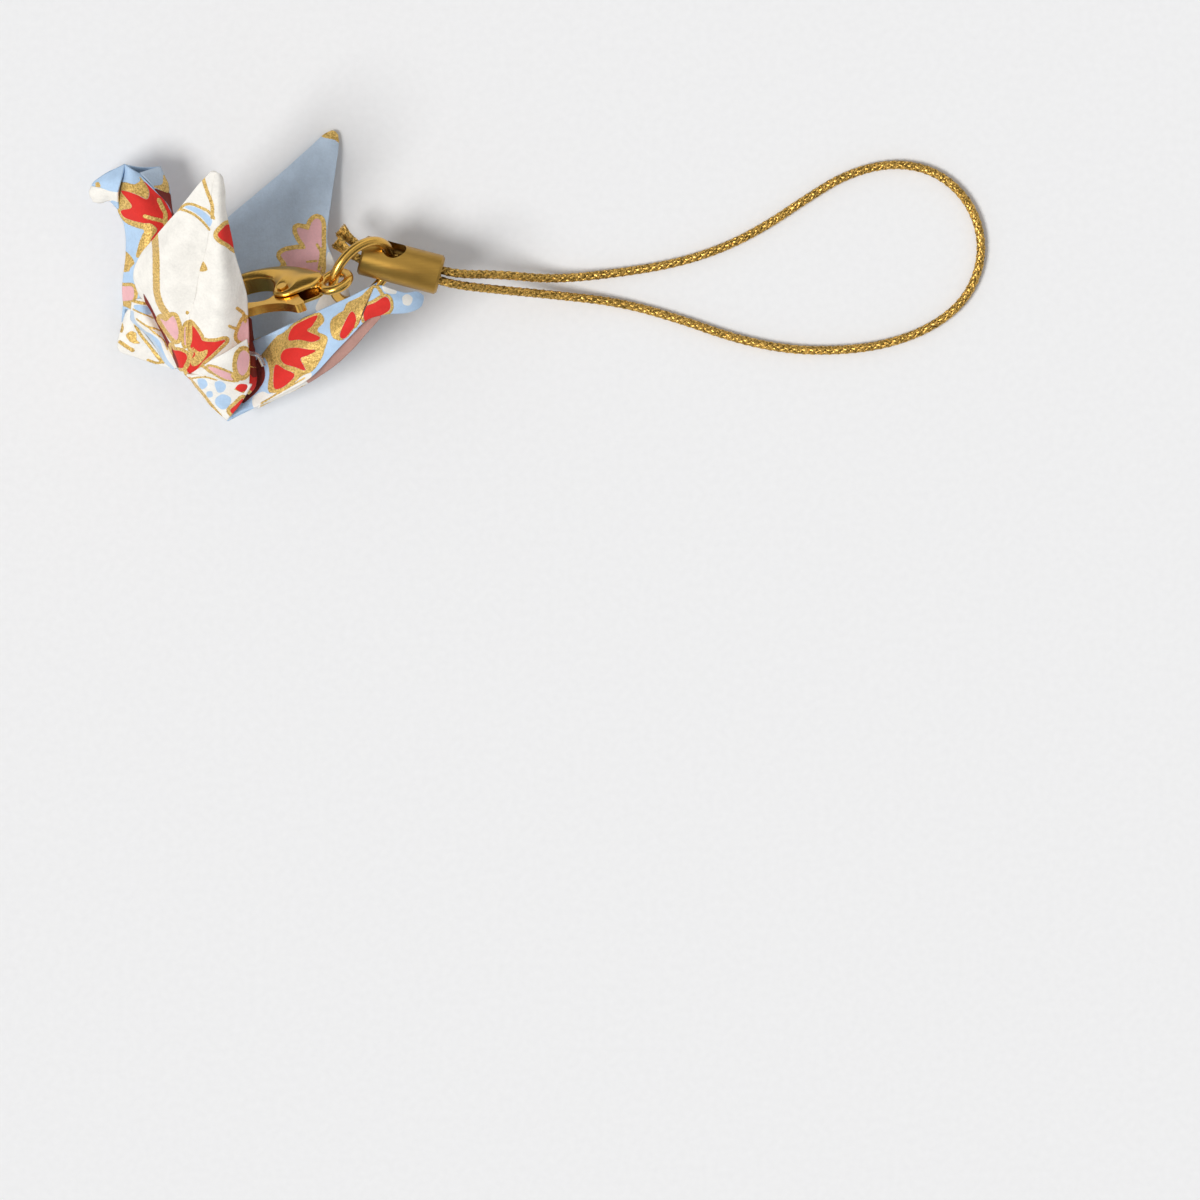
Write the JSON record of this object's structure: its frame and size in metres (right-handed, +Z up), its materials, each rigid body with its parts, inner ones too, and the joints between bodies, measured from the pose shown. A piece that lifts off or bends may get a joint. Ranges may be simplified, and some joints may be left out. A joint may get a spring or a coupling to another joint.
{
  "type": "origami crane charm",
  "caption": "Folded paper crane with curled wings, on a short metallic cord strap with lobster clasp, jump ring and end sleeve.",
  "frame": {"origin": "centre of the resting crane's bounding box, on the table it lies on", "axes": "+X away from the crane along the strap, the longest extent; +Y across the resting crane; +Z up from the table, the shortest extent"},
  "size_m": [0.0715, 0.0235, 0.0203],
  "materials": {
    "printed_paper": "printed, with raised metallic gold lines",
    "clear_thread": "clear",
    "gold_metal": "polished plate",
    "spring_wire": "drawn wire",
    "gold_thread": "metallic braid"
  },
  "bodies": {
    "crane": {"paper_crane": "printed_paper", "nylon_thread": "clear_thread", "clasp_body": "gold_metal", "clasp_rivet": "gold_metal", "clasp_spring": "spring_wire"},
    "lever": {"clasp_lever": "gold_metal"},
    "ring": {"jump_ring": "gold_metal"},
    "strap_end": {"cord_end_sleeve": "gold_metal", "gold_cord": "gold_thread", "cord_frayed_ends": "gold_thread"}
  },
  "joints": [
    {"name": "lever_pivot", "type": "hinge", "parent": "crane", "child": "lever", "pos_m": [0.00139, -0.00162, 0.00729], "axis": [0.3173, -0.7903, -0.5242], "range_deg": [0, 18], "stiffness_Nm_per_rad": 0.002, "springref_deg": -14.32},
    {"name": "ring_swing", "type": "hinge", "parent": "crane", "child": "ring", "pos_m": [0.00641, -0.00033, 0.00839], "axis": [-0.5998, 0.5278, -0.6013], "range_deg": [-30, 3]},
    {"name": "sleeve_swing", "type": "hinge", "parent": "ring", "child": "strap_end", "pos_m": [0.00744, 0.00032, 0.00642], "axis": [-0.5998, 0.5278, -0.6013], "range_deg": [-30, 30]}
  ]
}
